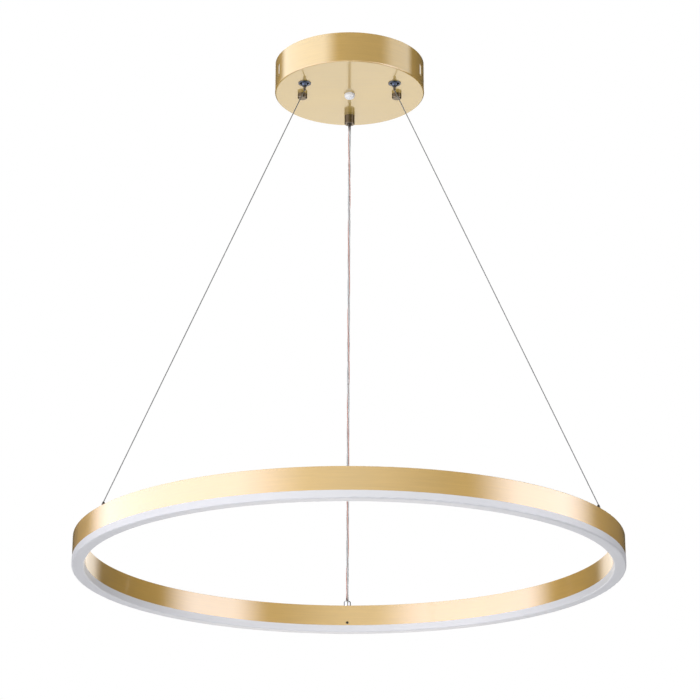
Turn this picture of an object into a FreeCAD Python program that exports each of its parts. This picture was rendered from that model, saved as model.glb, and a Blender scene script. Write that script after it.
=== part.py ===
import FreeCAD, Part
import math
import os

V = FreeCAD.Vector

# A ring light that hangs from a round canopy. Millimetres, +Z up, with the origin in the
# ceiling plane, at the centre of the canopy.

# Canopy cup
canopy_radius = 87.0
canopy_height = 36.5
sheet = 1.0
canopy_bend_radius = 0.5
vent_length = 16.0
vent_width = 5.0
vent_angle = 19.0

# Mounting bracket, its studs and the cap nuts
bracket_sheet = 1.5
bracket_width = 22.0
bracket_step = 5.0
bracket_step_run = 4.0
bracket_end_margin = 8.0
stud_spacing = 110.0
stud_radius = 2.0
stud_head_radius = 3.5
stud_head_height = 2.6
stud_nut_flats = 7.0
stud_nut_height = 3.2
slot_spacing = 70.0
slot_length = 14.0
slot_width = 4.8
supply_hole_radius = 5.25
cap_nut_radius = 5.5
cap_nut_length = 5.5
cap_nut_edge_radius = 1.2
cap_nut_end_wall = 1.3

# Plug in the middle of the canopy
plug_radius = 6.0
plug_side_height = 2.6
plug_dome_height = 3.2
plug_neck_radius = 3.8
plug_barb_radius = 4.4
plug_barb_top_radius = 3.2
plug_barb_height = 3.0
plug_slit = 1.2

# Suspension
drop = 541.8
grip_circle_radius = 60.0
left_angle = 210.0
right_angle = 330.0
back_angle = 90.0
left_anchor_angle = 210.0
right_anchor_angle = 332.0
back_anchor_angle = 90.4
wire_radius = 0.6
cable_radius = 1.6
cable_bore_radius = 1.15
core_radius = 0.42
steel_core_radius = 0.4
core_circle_radius = 0.6

# Wire grips: the two of the front wires are alike
wire_grip = {
    "cord": wire_radius, "ball": 0.75, "stem": 1.5, "chamber": 2.9, "neck": 4.0,
    "reach": 4.6, "nozzle": 9.0, "cone_low": -1.0, "neck_height": 14.5,
    "nut_flats": 12.0, "nut_height": 3.0,
}
cable_grip = {
    "cord": cable_radius, "ball": 1.0, "stem": 2.6, "chamber": 4.0, "neck": 5.0,
    "reach": 10.8, "nozzle": 12.4, "cone_low": -8.0, "neck_height": 12.0,
    "nut_flats": 14.0, "nut_height": 3.5,
}
cone_rise = 4.5
collar_lift = 2.5
collar_height = 2.0
grip_cap_height = 1.5
ball_count = 3
trumpet_radius = 7.3
trumpet_rim = 0.8
trumpet_depth = 3.6
trumpet_sag = 1.1
trumpet_lip_radius = 2.6
barrel_radius = 6.0
barrel_edge_radius = 0.8
barrel_groove_height = 3.0
barrel_groove_width = 0.5
barrel_groove_depth = 0.3
ferrule_radius = 1.4
ferrule_length = 4.5
wire_tail_end = 1.5
cable_tail_height = 18.0

# Ring: a bent aluminium profile with a shelf for the light boards
ring_radius = 300.0
profile_width = 12.8
band_height = 24.3
profile_wall = 1.3
profile_top = 1.5
shelf_depth = 11.0
shelf_thickness = 1.2
band_edge_radius = 0.4
lead_hole_radius = 2.5

# Diffuser
diffuser_depth = 8.1
diffuser_overhang = 0.3
diffuser_edge_radius = 1.5
diffuser_floor = 2.2
diffuser_leg = 1.2
diffuser_leg_height = 6.0
diffuser_screw_count = 3
diffuser_screw_height = 3.2
diffuser_screw_radius = 1.0
diffuser_screw_head_radius = 1.5
diffuser_screw_head_height = 0.6

# Light boards
board_count = 6
board_width = 8.4
board_thickness = 1.0
board_gap = 10.0
chips_per_board = 24
chip_length = 3.5
chip_width = 2.8
chip_height = 0.7
board_screw_radius = 1.0
board_screw_head_radius = 1.7
board_screw_head_height = 1.2
link_width = 1.4
link_thickness = 0.3
link_lap = 2.0
link_offset = 2.0

# Fittings on top of the ring
anchor_radius = 1.9
anchor_side_height = 4.4
anchor_height = 6.5
anchor_tip_radius = 1.0
anchor_neck_radius = 1.5
anchor_neck_length = 5.5
anchor_bore_depth = 5.0
anchor_nut_flats = 5.5
anchor_nut_height = 2.4
gland_radius = 4.2
gland_side_height = 4.0
gland_height = 6.6
gland_top_radius = 3.3
gland_shoulder_bulge = 0.3
gland_neck_radius = 3.2
gland_neck_length = 6.0
gland_nut_flats = 9.0
gland_nut_height = 2.5
bush_radius = 2.5
bush_depth = 4.2

# Driver in the canopy
driver_length = 96.0
driver_depth = 34.0
driver_base_height = 20.0
driver_wall = 1.5
driver_cover_height = 2.0
driver_lip = 2.0
driver_middle_y = 27.0
driver_pad_height = 1.0
driver_pad_margin = 5.0
driver_post_side = 4.0
driver_post_height = 2.0
driver_board_height = 1.6
transformer_size = (22.0, 18.0, 12.0)
transformer_x = 8.0
capacitor_radius = 4.0
capacitor_height = 11.0
capacitor_xs = (-22.0, -32.0)
choke_radius = 6.0
choke_height = 8.0
choke_x = 32.0

# Terminal block
terminal_length = 30.0
terminal_depth = 17.0
terminal_height = 14.0
terminal_middle_y = -38.0
terminal_pitch = 9.0
terminal_poles = (-1, 0, 1)
terminal_bore_radius = 1.8
terminal_bore_depth = 5.6
terminal_row_offset = 4.2
terminal_bore_height = 6.0
terminal_screw_radius = 1.8
terminal_screw_length = 4.0

# Earth screw on the bracket, and the leads
earth_x = 20.0
earth_screw_radius = 2.0
earth_head_radius = 3.5
earth_head_height = 2.4
tag_radius = 4.2
tag_thickness = 0.8
tag_barrel_radius = 1.5
tag_barrel_length = 5.0
lead_radius = 0.9
lead_sway = 2.7
earth_lead_straight = 9.0
earth_lead_step = 6.0
earth_lead_end = 7.0
output_lead_radius = 0.7
output_lead_x = 14.0
output_lead_height = 10.0
output_lead_rise = 5.0
output_lead_crest = (6.0, -2.0, 8.0)
output_lead_fall = (-5.0, 3.0)
output_lead_entry = 3.0
ring_lead_radius = 0.6
ring_lead_bend = 3.0
ring_lead_reach = 8.0
bend_share = 0.45

# Clearances
thread_gap = 0.05
hole_gap = 0.1
running_gap = 0.1
cord_gap = 0.15
collar_gap = 0.3
snap_gap = 0.2
seat_gap = 0.05
lid_gap = 0.15
lay_gap = 0.05

# Levels and places that follow from the sizes above
underside = -canopy_height
floor_top = underside + sheet
ring_top = underside - drop
band_bottom = ring_top - band_height
ring_inner_radius = ring_radius - profile_width
ring_middle_radius = ring_radius - profile_width / 2
shelf_top = ring_top - shelf_depth
shelf_bottom = shelf_top - shelf_thickness
board_bottom = shelf_bottom - board_thickness
bracket_end_top = -bracket_step
bracket_end_bottom = bracket_end_top - bracket_sheet
stud_places = [(-stud_spacing / 2, 0.0), (stud_spacing / 2, 0.0)]
board_step = 360 / board_count
board_span = board_step - math.degrees(board_gap / ring_middle_radius)
chip_pitch_angle = board_span / chips_per_board
board_screw_angle = (chips_per_board / 2 - 1) * chip_pitch_angle
tag_neck = earth_head_radius + hole_gap
tag_end = -tag_neck - tag_barrel_length


def polar(radius, angle):
    turn = math.radians(angle)
    return radius * math.cos(turn), radius * math.sin(turn)


left_place = polar(grip_circle_radius, left_angle)
right_place = polar(grip_circle_radius, right_angle)
back_place = polar(grip_circle_radius, back_angle)
left_anchor = polar(ring_middle_radius, left_anchor_angle)
right_anchor = polar(ring_middle_radius, right_anchor_angle)
back_anchor = polar(ring_middle_radius, back_anchor_angle)


def save(name, *shapes):
    shape = shapes[0] if len(shapes) == 1 else Part.makeCompound(list(shapes))
    shape.exportStep("parts/%s.step" % name)


def cylinder(place, radius, z_low, z_high):
    return Part.makeCylinder(radius, z_high - z_low, V(place[0], place[1], z_low))


def sleeve(place, outer, inner, z_low, z_high):
    return cylinder(place, outer, z_low, z_high).cut(cylinder(place, inner, z_low, z_high))


def block(x_low, x_high, y_low, y_high, z_low, z_high):
    return Part.makeBox(x_high - x_low, y_high - y_low, z_high - z_low, V(x_low, y_low, z_low))


def section(points):
    # A closed face in the XZ plane. A point of two numbers ends a line, and one of four ends
    # an arc through its first pair.
    edges = []
    last = V(points[0][0], 0, points[0][1])
    for point in points[1:] + points[:1]:
        end = V(point[-2], 0, point[-1])
        if len(point) == 4:
            edges.append(Part.Arc(last, V(point[0], 0, point[1]), end).toShape())
        else:
            edges.append(Part.makeLine(last, end))
        last = end
    return Part.Face(Part.Wire(edges))


def turned(place, points):
    solid = section(points).revolve(V(0, 0, 0), V(0, 0, 1), 360)
    solid.translate(V(place[0], place[1], 0))
    return solid


def corner(at, before, after, radius):
    # The two outline points of a rounded corner. before and after are the unit directions
    # from the corner to its neighbours.
    start = (at[0] + before[0] * radius, at[1] + before[1] * radius)
    end = (at[0] + after[0] * radius, at[1] + after[1] * radius)
    inset = radius * (1 - math.sqrt(0.5))
    middle = (at[0] + (before[0] + after[0]) * inset, at[1] + (before[1] + after[1]) * inset)
    return [start, middle + end]


def hex_nut(place, flats, bore, z_low, z_high, facing=0.0):
    # facing is the direction that one of the flats looks in.
    sides = 6
    half_turn = 180 / sides
    corner_radius = flats / 2 / math.cos(math.radians(half_turn))
    points = [V(*polar(corner_radius, facing + half_turn * (2 * side + 1)), z_low)
              for side in range(sides)]
    prism = Part.Face(Part.makePolygon(points + points[:1])).extrude(V(0, 0, z_high - z_low))
    prism.translate(V(place[0], place[1], 0))
    return prism.cut(cylinder(place, bore, z_low, z_high))


def moved_round(shape, angle):
    copy = shape.copy()
    copy.rotate(V(0, 0, 0), V(0, 0, 1), angle)
    return copy


def tube_along(name, points, radius):
    # A tube on straight runs joined by tangent arcs, each as large as its runs allow.
    stops = [V(*point) for point in points]
    edges = []
    last = stops[0]
    for before, here, after in zip(stops, stops[1:], stops[2:]):
        run_in = here.sub(before)
        run_out = after.sub(here)
        turn = run_in.getAngle(run_out)
        shorter = min(run_in.Length, run_out.Length)
        trim = bend_share * shorter
        bend = trim / math.tan(turn / 2)
        run_in.normalize()
        run_out.normalize()
        arc_start = here.sub(run_in * trim)
        arc_end = here.add(run_out * trim)
        inward = run_out.sub(run_in)
        inward.normalize()
        sag = bend * (1 / math.cos(turn / 2) - 1)
        edges.append(Part.makeLine(last, arc_start))
        edges.append(Part.Arc(arc_start, here.add(inward * sag), arc_end).toShape())
        last = arc_end
        print("%s bend %.1f mm" % (name, bend))
    edges.append(Part.makeLine(last, stops[-1]))
    path = Part.Wire(edges)
    circle = Part.makeCircle(radius, stops[0], stops[1].sub(stops[0]))
    solid = path.makePipeShell([Part.Wire(circle)], True, False)
    ideal = math.pi * radius ** 2 * path.Length
    print("%s volume over section times length: %.4f" % (name, solid.Volume / ideal))
    return solid


def straight_cord(top_place, bottom_place, radius, z_high, z_low, bore=0.0):
    # A taut round cord, cut off level at both ends from a rod one diameter longer at each.
    top = V(top_place[0], top_place[1], z_high)
    bottom = V(bottom_place[0], bottom_place[1], z_low)
    along = bottom.sub(top)
    spare = V(along)
    spare.normalize()
    spare = spare * (2 * radius)
    length = along.Length + 2 * spare.Length
    rod = Part.makeCylinder(radius, length, top.sub(spare), along)
    if bore:
        rod = rod.cut(Part.makeCylinder(bore, length, top.sub(spare), along))
    reach = grip_circle_radius + ring_radius
    return rod.common(block(-reach, reach, -reach, reach, z_low, z_high))


# Canopy

def canopy_cup():
    bottom = corner((canopy_radius, underside), (-1, 0), (0, 1), canopy_bend_radius + sheet)
    inside = corner((canopy_radius - sheet, floor_top), (0, 1), (-1, 0), canopy_bend_radius)
    cup = turned((0, 0), [(0, underside)] + bottom + [
        (canopy_radius, 0), (canopy_radius - sheet, 0)] + inside + [(0, floor_top)])
    for place, grip in ((left_place, wire_grip), (right_place, wire_grip),
                        (back_place, cable_grip)):
        cup = cup.cut(cylinder(place, grip["neck"] + hole_gap, underside, floor_top))
    for place in stud_places:
        cup = cup.cut(cylinder(place, stud_radius + hole_gap, underside, floor_top))
    cup = cup.cut(cylinder((0, 0), plug_neck_radius + hole_gap, underside, floor_top))
    for angle in (-vent_angle, vent_angle, 180 - vent_angle, 180 + vent_angle):
        cup = cup.cut(moved_round(vent_cutter(), angle))
    return cup


def vent_cutter():
    # An upright slot with round ends, halfway up the side wall and pointing along +X.
    middle = underside / 2
    half = (vent_length - vent_width) / 2
    start = canopy_radius - vent_width
    depth = 2 * vent_width
    bar = block(start, start + depth, -vent_width / 2, vent_width / 2, middle - half, middle + half)
    for level in (middle - half, middle + half):
        bar = bar.fuse(Part.makeCylinder(vent_width / 2, depth, V(start, 0, level), V(1, 0, 0)))
    return bar.removeSplitter()


# Bracket, studs and nuts

def mounting_bracket():
    end = stud_spacing / 2 + bracket_end_margin
    step_end = stud_spacing / 2 - stud_head_radius - bracket_sheet
    step_start = step_end - bracket_step_run
    slope = math.atan2(bracket_step, bracket_step_run)
    inset = bracket_sheet * math.tan(slope / 2)
    half = [(step_start, 0), (step_end, bracket_end_top), (end, bracket_end_top),
            (end, bracket_end_bottom), (step_end - inset, bracket_end_bottom),
            (step_start - inset, -bracket_sheet)]
    mirrored = [(-x, z) for x, z in reversed(half)]
    bar = section(half + mirrored).extrude(V(0, bracket_width, 0))
    bar.translate(V(0, -bracket_width / 2, 0))
    for place in stud_places:
        bar = bar.cut(cylinder(place, stud_radius + thread_gap, -canopy_height, 0))
    bar = bar.cut(cylinder((0, 0), supply_hole_radius, -bracket_sheet, 0))
    bar = bar.cut(cylinder((earth_x, 0), earth_screw_radius + thread_gap, -bracket_sheet, 0))
    for middle in (-slot_spacing / 2, slot_spacing / 2):
        bar = bar.cut(slot_cutter(middle))
    return bar


def slot_cutter(middle):
    half = (slot_length - slot_width) / 2
    cutter = block(middle - half, middle + half, -slot_width / 2, slot_width / 2,
                   -bracket_sheet, 0)
    for x in (middle - half, middle + half):
        cutter = cutter.fuse(cylinder((x, 0), slot_width / 2, -bracket_sheet, 0))
    return cutter.removeSplitter()


def bracket_stud(place):
    head = cylinder(place, stud_head_radius, bracket_end_top, bracket_end_top + stud_head_height)
    shank_end = underside - cap_nut_length + cap_nut_end_wall + thread_gap
    return head.fuse(cylinder(place, stud_radius, shank_end, bracket_end_top))


def stud_nut(place):
    return hex_nut(place, stud_nut_flats, stud_radius + thread_gap,
                   bracket_end_bottom - stud_nut_height, bracket_end_bottom)


def cap_nut(place):
    low = underside - cap_nut_length
    rim = corner((cap_nut_radius, low), (-1, 0), (0, 1), cap_nut_edge_radius)
    body = turned(place, [(0, low)] + rim + [(cap_nut_radius, underside), (0, underside)])
    return body.cut(cylinder(place, stud_radius + thread_gap, low + cap_nut_end_wall, underside))


def centre_plug():
    side_low = underside - plug_side_height
    tip = side_low - plug_dome_height
    dome_middle = (plug_radius * math.sqrt(0.5), side_low - plug_dome_height * math.sqrt(0.5))
    barb_low = floor_top + lay_gap
    barb_top = barb_low + plug_barb_height
    plug = turned((0, 0), [
        (0, tip), dome_middle + (plug_radius, side_low), (plug_radius, underside),
        (plug_neck_radius, underside), (plug_neck_radius, barb_low),
        (plug_barb_radius, barb_low), (plug_barb_top_radius, barb_top),
        (0, barb_top)])
    reach = plug_barb_radius
    for turn in (0, 90):
        slit = block(-reach, reach, -plug_slit / 2, plug_slit / 2, underside, barb_top)
        plug = plug.cut(moved_round(slit, turn))
    return plug


# Grips

def cone_top(grip):
    return underside + grip["cone_low"] + cone_rise


def ball_level(grip):
    # Height at which a ball touches both the cord and the tapered bore.
    bore = grip["stem"] + running_gap
    taper = (grip["chamber"] - bore) / cone_rise
    centre = grip["cord"] + grip["ball"]
    needed = centre + (grip["ball"] + seat_gap) * math.sqrt(1 + taper ** 2)
    return underside + grip["cone_low"] + (needed - bore) / taper


def trumpet_outline(grip):
    low = underside - grip["reach"]
    inner = (trumpet_lip_radius, underside - trumpet_depth)
    outer = (trumpet_radius, underside - trumpet_rim)
    chord = math.dist(inner, outer)
    across = ((inner[1] - outer[1]) / chord, (outer[0] - inner[0]) / chord)
    middle = ((inner[0] + outer[0]) / 2 + across[0] * trumpet_sag,
              (inner[1] + outer[1]) / 2 + across[1] * trumpet_sag)
    return [(0, low), (trumpet_lip_radius, low), inner, middle + outer,
            (trumpet_radius, underside)]


def barrel_outline(grip):
    low = underside - grip["reach"]
    edge = corner((barrel_radius, low), (-1, 0), (0, 1), barrel_edge_radius)
    groove = low + barrel_groove_height
    floor = barrel_radius - barrel_groove_depth
    return [(0, low)] + edge + [
        (barrel_radius, groove), (floor, groove), (floor, groove + barrel_groove_width),
        (barrel_radius, groove + barrel_groove_width), (barrel_radius, underside)]


def grip_body(place, grip, outline):
    top = underside + grip["neck_height"]
    body = turned(place, outline + [(grip["neck"], underside), (grip["neck"], top), (0, top)])
    bore = grip["stem"] + running_gap
    cone_low = underside + grip["cone_low"]
    inside = turned((0, 0), [
        (0, underside - grip["reach"]), (bore, underside - grip["reach"]), (bore, cone_low),
        (grip["chamber"], cone_top(grip)), (grip["chamber"], top), (0, top)])
    inside.translate(V(place[0], place[1], 0))
    return body.cut(inside)


def grip_cap(place, grip):
    top = underside + grip["neck_height"]
    return sleeve(place, grip["chamber"] - seat_gap, grip["cord"] + cord_gap,
                  top - grip_cap_height, top)


def release(place, grip):
    collar_low = cone_top(grip) + collar_lift
    collar_high = collar_low + collar_height
    stem = cylinder(place, grip["stem"], underside - grip["nozzle"], collar_low)
    stem = stem.fuse(cylinder(place, grip["chamber"] - collar_gap, collar_low, collar_high))
    stem = stem.cut(cylinder(place, grip["cord"] + cord_gap, underside - grip["nozzle"],
                             collar_high))
    level = ball_level(grip)
    for turn in range(ball_count):
        heading = V(*polar(1, 360 / ball_count * turn), 0)
        window = Part.makeCylinder(grip["ball"] + hole_gap, grip["chamber"],
                                   V(place[0], place[1], level), heading)
        stem = stem.cut(window)
    return stem


def grip_balls(place, grip):
    offset = grip["cord"] + grip["ball"] + seat_gap / 2
    balls = []
    for turn in range(ball_count):
        x, y = polar(offset, 360 / ball_count * turn)
        balls.append(Part.makeSphere(grip["ball"], V(place[0] + x, place[1] + y,
                                                     ball_level(grip))))
    return balls


def grip_spring(place, grip):
    low = cone_top(grip) + collar_lift + collar_height
    high = underside + grip["neck_height"] - grip_cap_height
    return sleeve(place, grip["chamber"] - collar_gap, grip["cord"] + collar_gap, low, high)


def grip_nut(place, grip):
    return hex_nut(place, grip["nut_flats"], grip["neck"] + thread_gap, floor_top,
                   floor_top + grip["nut_height"])


# Cords inside the grips

def wire_tail(place):
    top = underside + wire_grip["neck_height"] + ferrule_length + wire_tail_end
    return cylinder(place, wire_radius, underside - wire_grip["nozzle"], top)


def stop_ferrule(place):
    low = underside + wire_grip["neck_height"]
    return sleeve(place, ferrule_radius, wire_radius + thread_gap, low, low + ferrule_length)


def cable_tail():
    return cylinder(back_place, cable_radius, underside - cable_grip["nozzle"],
                    underside + cable_tail_height)


# Cords between the canopy and the ring

def suspension_wire(place, anchor):
    return straight_cord(place, anchor, wire_radius, underside - wire_grip["nozzle"],
                         ring_top + anchor_height)


def cable_part(radius, bore=0.0, offset=(0.0, 0.0)):
    top = (back_place[0] + offset[0], back_place[1] + offset[1])
    bottom = (back_anchor[0] + offset[0], back_anchor[1] + offset[1])
    return straight_cord(top, bottom, radius, underside - cable_grip["nozzle"],
                         ring_top + gland_height, bore)


# Ring

def ring_channel():
    inner_wall = ring_inner_radius + profile_wall
    outer_wall = ring_radius - profile_wall
    top_outer = corner((ring_radius, ring_top), (0, -1), (-1, 0), band_edge_radius)
    top_inner = corner((ring_inner_radius, ring_top), (1, 0), (0, -1), band_edge_radius)
    channel = turned((0, 0), [
        (outer_wall, band_bottom), (ring_radius, band_bottom)] + top_outer + top_inner + [
        (ring_inner_radius, band_bottom), (inner_wall, band_bottom),
        (inner_wall, shelf_bottom), (outer_wall, shelf_bottom)])
    chamber = turned((0, 0), [
        (inner_wall, shelf_top), (outer_wall, shelf_top),
        (outer_wall, ring_top - profile_top), (inner_wall, ring_top - profile_top)])
    channel = channel.cut(chamber)
    for place in (left_anchor, right_anchor):
        channel = channel.cut(cylinder(place, anchor_neck_radius + hole_gap,
                                       ring_top - profile_top, ring_top))
    channel = channel.cut(cylinder(back_anchor, gland_neck_radius + hole_gap,
                                   ring_top - profile_top, ring_top))
    channel = channel.cut(cylinder(back_anchor, lead_hole_radius, shelf_bottom, shelf_top))
    for angle in board_screw_angles():
        place = polar(ring_middle_radius, angle)
        channel = channel.cut(cylinder(place, board_screw_radius + thread_gap, shelf_bottom,
                                       shelf_top))
    for angle in diffuser_screw_angles():
        channel = channel.cut(moved_round(diffuser_screw_hole(), angle))
    return channel


def diffuser():
    low = band_bottom - diffuser_depth
    outer = ring_radius + diffuser_overhang
    inner = ring_inner_radius - diffuser_overhang
    shoulder = band_bottom - seat_gap
    leg_top = band_bottom + diffuser_leg_height
    leg_outer = ring_radius - profile_wall - snap_gap
    leg_inner = ring_inner_radius + profile_wall + snap_gap
    cavity_outer = leg_outer - diffuser_leg
    cavity_inner = leg_inner + diffuser_leg
    cavity_floor = low + diffuser_floor
    bottom_inner = corner((inner, low), (0, 1), (1, 0), diffuser_edge_radius)
    bottom_outer = corner((outer, low), (-1, 0), (0, 1), diffuser_edge_radius)
    cap = turned((0, 0), [(inner, shoulder)] + bottom_inner + bottom_outer + [
        (outer, shoulder), (leg_outer, shoulder), (leg_outer, leg_top),
        (cavity_outer, leg_top), (cavity_outer, cavity_floor), (cavity_inner, cavity_floor),
        (cavity_inner, leg_top), (leg_inner, leg_top), (leg_inner, shoulder)])
    for angle in diffuser_screw_angles():
        cap = cap.cut(moved_round(diffuser_screw_hole(), angle))
    return cap


def diffuser_screw_angles():
    step = 360 / diffuser_screw_count
    return [back_anchor_angle + step * turn for turn in range(diffuser_screw_count)]


def diffuser_screw_hole():
    # Through the inner wall and the diffuser's inner leg, pointing along +X.
    length = profile_wall + snap_gap + diffuser_leg
    start = V(ring_inner_radius, 0, band_bottom + diffuser_screw_height)
    return Part.makeCylinder(diffuser_screw_radius + thread_gap, length, start, V(1, 0, 0))


def diffuser_screw(angle):
    level = band_bottom + diffuser_screw_height
    length = profile_wall + snap_gap + diffuser_leg
    shank = Part.makeCylinder(diffuser_screw_radius, length, V(ring_inner_radius, 0, level),
                              V(1, 0, 0))
    # The head's face is set in from the chord of the round wall that it bears on.
    sag = ring_inner_radius - math.sqrt(ring_inner_radius ** 2 - diffuser_screw_head_radius ** 2)
    head_start = ring_inner_radius - sag - diffuser_screw_head_height
    head = Part.makeCylinder(diffuser_screw_head_radius, diffuser_screw_head_height,
                             V(head_start, 0, level), V(1, 0, 0))
    link = Part.makeCylinder(diffuser_screw_radius, 2 * sag,
                             V(ring_inner_radius - sag, 0, level), V(1, 0, 0))
    return moved_round(head.fuse(link).fuse(shank), angle)


# Light boards

def board_angles():
    first = back_anchor_angle + board_step / 2
    return [first + board_step * turn for turn in range(board_count)]


def board_screw_angles():
    return [middle + side for middle in board_angles()
            for side in (-board_screw_angle, board_screw_angle)]


def light_board(middle):
    inner = ring_middle_radius - board_width / 2
    face = section([(inner, board_bottom), (inner + board_width, board_bottom),
                    (inner + board_width, shelf_bottom), (inner, shelf_bottom)])
    board = face.revolve(V(0, 0, 0), V(0, 0, 1), board_span)
    board = moved_round(board, middle - board_span / 2)
    for side in (-board_screw_angle, board_screw_angle):
        place = polar(ring_middle_radius, middle + side)
        board = board.cut(cylinder(place, board_screw_radius + thread_gap, board_bottom,
                                   shelf_bottom))
    return board


def light_chips(middle):
    chips = []
    for number in range(chips_per_board):
        angle = middle + (number - (chips_per_board - 1) / 2) * chip_pitch_angle
        chip = block(ring_middle_radius - chip_width / 2, ring_middle_radius + chip_width / 2,
                     -chip_length / 2, chip_length / 2, board_bottom - chip_height, board_bottom)
        chips.append(moved_round(chip, angle))
    return chips


def board_screw(angle):
    place = polar(ring_middle_radius, angle)
    head = cylinder(place, board_screw_head_radius, board_bottom - board_screw_head_height,
                    board_bottom)
    return head.fuse(cylinder(place, board_screw_radius, board_bottom, shelf_top))


def board_links():
    # Two flat bridges over each gap between boards, apart from the gap with the leads.
    links = []
    reach = board_gap / 2 + link_lap
    for middle in board_angles()[:-1]:
        for offset in (-link_offset, link_offset):
            radius = ring_middle_radius + offset
            link = block(radius - link_width / 2, radius + link_width / 2, -reach, reach,
                         board_bottom - link_thickness, board_bottom)
            links.append(moved_round(link, middle + board_step / 2))
    return links


# Fittings on the ring

def wire_anchor(place):
    side_top = ring_top + anchor_side_height
    tip = ring_top + anchor_height
    neck_low = ring_top - anchor_neck_length
    body = turned(place, [
        (0, neck_low), (anchor_neck_radius, neck_low), (anchor_neck_radius, ring_top),
        (anchor_radius, ring_top), (anchor_radius, side_top), (anchor_tip_radius, tip),
        (0, tip)])
    return body.cut(cylinder(place, wire_radius + thread_gap, tip - anchor_bore_depth, tip))


def anchor_nut(place, angle):
    high = ring_top - profile_top
    return hex_nut(place, anchor_nut_flats, anchor_neck_radius + thread_gap,
                   high - anchor_nut_height, high, angle)


def wire_end(place):
    tip = ring_top + anchor_height
    return cylinder(place, wire_radius, tip - anchor_bore_depth, tip)


def ring_gland():
    side_top = ring_top + gland_side_height
    top = ring_top + gland_height
    neck_low = ring_top - gland_neck_length
    shoulder = ((gland_radius + gland_top_radius) / 2 + gland_shoulder_bulge,
                (side_top + top) / 2 + gland_shoulder_bulge)
    body = turned(back_anchor, [
        (0, neck_low), (gland_neck_radius, neck_low), (gland_neck_radius, ring_top),
        (gland_radius, ring_top), (gland_radius, side_top), shoulder + (gland_top_radius, top),
        (0, top)])
    body = body.cut(cylinder(back_anchor, cable_radius + hole_gap, neck_low, top))
    return body.cut(cylinder(back_anchor, bush_radius + hole_gap, top - bush_depth, top))


def gland_bush():
    top = ring_top + gland_height
    return sleeve(back_anchor, bush_radius, cable_radius + seat_gap, top - bush_depth, top)


def gland_nut():
    high = ring_top - profile_top
    return hex_nut(back_anchor, gland_nut_flats, gland_neck_radius + thread_gap,
                   high - gland_nut_height, high, back_anchor_angle)


def cable_ring_end():
    return cylinder(back_anchor, cable_radius, ring_top - gland_neck_length,
                    ring_top + gland_height)


def ring_lead(side):
    x = back_anchor[0] + side * (ring_lead_radius + lay_gap)
    y = back_anchor[1]
    level = board_bottom - ring_lead_radius - lay_gap
    reach = back_anchor[0] + side * ring_lead_reach
    start = V(x, y, ring_top - gland_neck_length)
    bend_start = V(x, y, level + ring_lead_bend)
    centre = V(x + side * ring_lead_bend, y, level + ring_lead_bend)
    turn = math.sqrt(0.5) * ring_lead_bend
    bend_middle = V(centre.x - side * turn, y, centre.z - turn)
    bend_end = V(centre.x, y, level)
    path = Part.Wire([
        Part.makeLine(start, bend_start),
        Part.Arc(bend_start, bend_middle, bend_end).toShape(),
        Part.makeLine(bend_end, V(reach, y, level))])
    circle = Part.Wire(Part.makeCircle(ring_lead_radius, start, V(0, 0, -1)))
    return path.makePipeShell([circle], True, False)


# Driver

driver_low = floor_top + driver_pad_height
driver_high = driver_low + driver_base_height
driver_box = (-driver_length / 2, driver_length / 2,
              driver_middle_y - driver_depth / 2, driver_middle_y + driver_depth / 2)
lead_level = floor_top + terminal_bore_height
terminal_low_y = terminal_middle_y - terminal_depth / 2
terminal_high_y = terminal_middle_y + terminal_depth / 2
terminal_screw_low = lead_level + lead_radius
lead_start_y = terminal_high_y - terminal_bore_depth


def inset_box(margin):
    x_low, x_high, y_low, y_high = driver_box
    return x_low + margin, x_high - margin, y_low + margin, y_high - margin


def driver_pad():
    return block(*inset_box(driver_pad_margin), floor_top, driver_low)


def driver_base():
    base = block(*driver_box, driver_low, driver_high)
    base = base.cut(block(*inset_box(driver_wall), driver_low + driver_wall, driver_high))
    x_low, x_high, y_low, y_high = inset_box(driver_wall)
    floor = driver_low + driver_wall
    side = driver_post_side
    for x in (x_low, x_high - side):
        for y in (y_low, y_high - side):
            base = base.fuse(block(x, x + side, y, y + side, floor,
                                   floor + driver_post_height))
    for x in (-terminal_pitch, 0.0):
        hole = Part.makeCylinder(lead_radius + hole_gap, driver_wall,
                                 V(x, driver_box[2], lead_level), V(0, 1, 0))
        base = base.cut(hole)
    for x in (-output_lead_x, output_lead_x):
        hole = Part.makeCylinder(output_lead_radius + hole_gap, driver_wall,
                                 V(x, driver_box[3] - driver_wall, output_level()), V(0, 1, 0))
        base = base.cut(hole)
    return base


def output_level():
    return driver_low + output_lead_height


def driver_cover():
    lid = block(*driver_box, driver_high, driver_high + driver_cover_height)
    margin = driver_wall + lid_gap
    lip = block(*inset_box(margin), driver_high - driver_lip, driver_high)
    lip = lip.cut(block(*inset_box(margin + driver_wall), driver_high - driver_lip, driver_high))
    return lid.fuse(lip)


def driver_board():
    low = driver_low + driver_wall + driver_post_height
    return block(*inset_box(driver_wall + lid_gap), low, low + driver_board_height)


def driver_components():
    low = driver_low + driver_wall + driver_post_height + driver_board_height
    length, depth, height = transformer_size
    parts = [block(transformer_x - length / 2, transformer_x + length / 2,
                   driver_middle_y - depth / 2, driver_middle_y + depth / 2, low, low + height)]
    for x in capacitor_xs:
        parts.append(cylinder((x, driver_middle_y), capacitor_radius, low,
                              low + capacitor_height))
    parts.append(cylinder((choke_x, driver_middle_y), choke_radius, low, low + choke_height))
    return parts


# Terminal block and leads

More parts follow.
